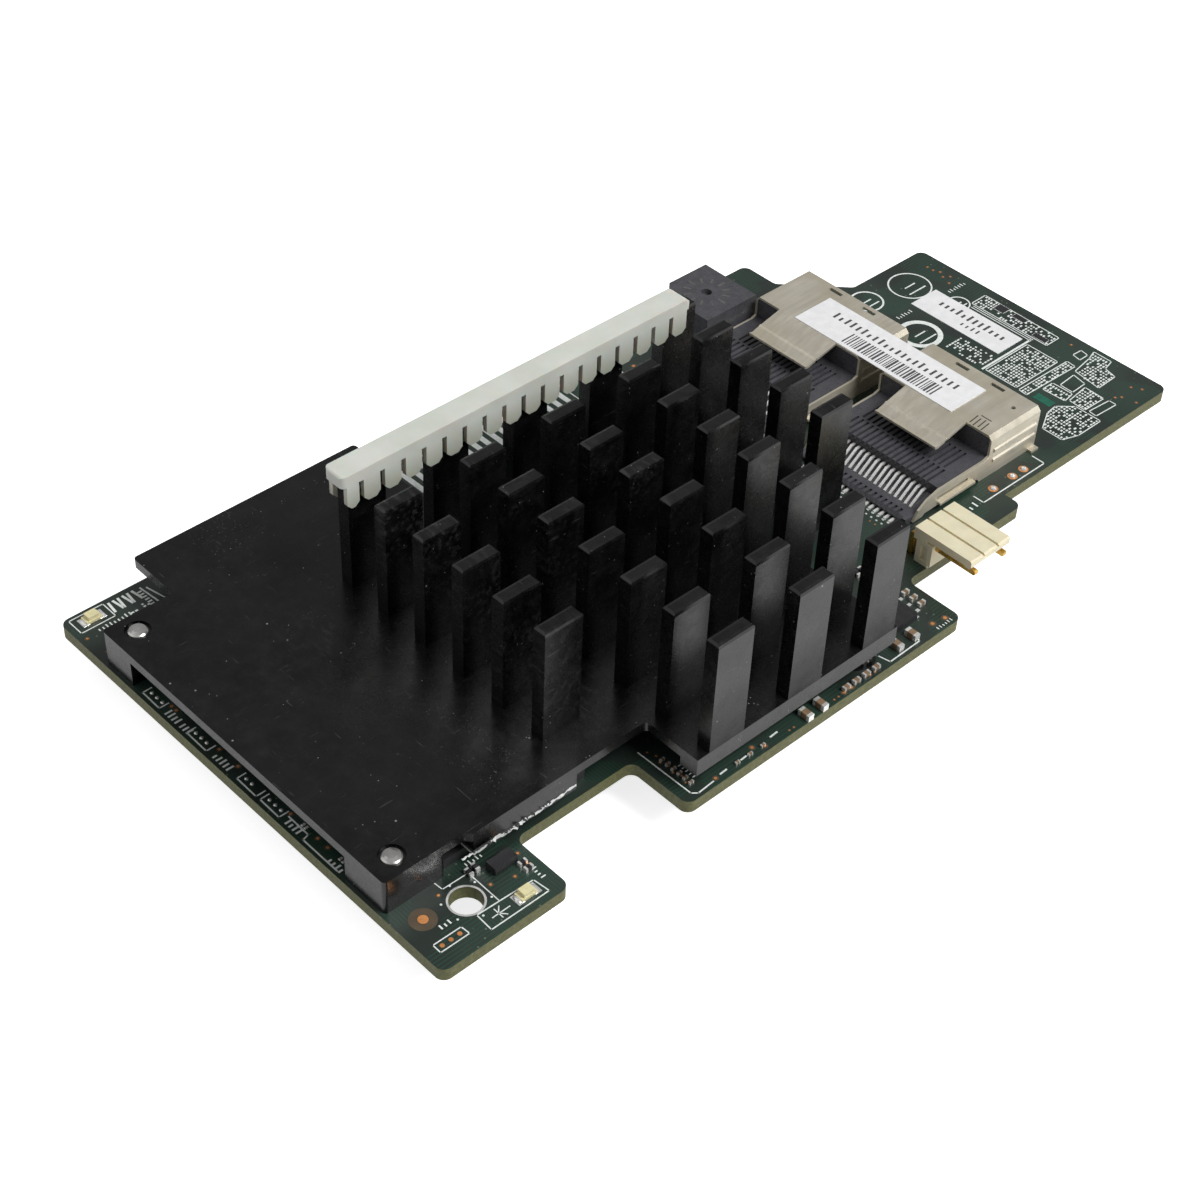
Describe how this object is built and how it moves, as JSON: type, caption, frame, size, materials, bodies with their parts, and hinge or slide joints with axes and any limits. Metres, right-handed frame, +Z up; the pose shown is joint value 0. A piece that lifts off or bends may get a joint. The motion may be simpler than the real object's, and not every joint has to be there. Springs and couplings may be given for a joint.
{
  "type": "raid controller card",
  "caption": "Mezzanine disk controller card: circuit board with a black pin-fin heatsink, nylon fin guard, shielded right-angle disk ports and a keyed pin header.",
  "frame": {"origin": "centre of the board's mounting hole at the board's underside", "axes": "+X along the board towards the disk ports' end, +Y from the header edge to the far edge, +Z up out of the component side of the board"},
  "size_m": [0.1285, 0.0646, 0.0263],
  "materials": {
    "board": "solder-resist over woven glass laminate",
    "sink_black": "black anodised, lightly scratched",
    "guard_nylon": "translucent natural nylon",
    "chip_black": "moulded epoxy",
    "thermal_pad": "soft gap filler",
    "steel": "plain",
    "cage_metal": "tin-plated spring sheet",
    "port_plastic": "moulded high-temperature nylon",
    "gold": "gold plated",
    "tin": "matt tin",
    "label_white": "bare printed-stock label",
    "header_cream": "natural nylon",
    "cap_tan": "fired dielectric",
    "resistor_black": "glazed film",
    "led_cream": "phosphor-filled lens"
  },
  "bodies": {
    "root": {"circuit_board": "board", "heatsink": "sink_black", "fin_guard": "guard_nylon", "raid_processor": "chip_black", "processor_thermal_pad": "thermal_pad", "memory_chips": "chip_black", "memory_thermal_pads": "thermal_pad", "heatsink_rivets": "steel", "heatsink_screws": "steel", "port_cage_front": "cage_metal", "port_cage_rear": "cage_metal", "port_housing_front": "port_plastic", "port_housing_rear": "port_plastic", "port_contacts_front": "tin", "port_contacts_rear": "tin", "cage_label": "label_white", "board_label": "label_white", "backup_connector": "port_plastic", "backup_contacts": "tin", "key_header": "header_cream", "key_header_pins": "gold", "mezzanine_connector": "port_plastic", "mezzanine_contacts": "gold", "chip_capacitors": "cap_tan", "chip_resistors": "resistor_black", "chip_terminations": "tin", "underside_capacitors": "cap_tan", "underside_terminations": "tin", "logic_chips": "chip_black", "status_leds": "led_cream", "regulator_chip": "chip_black"}
  },
  "joints": []
}
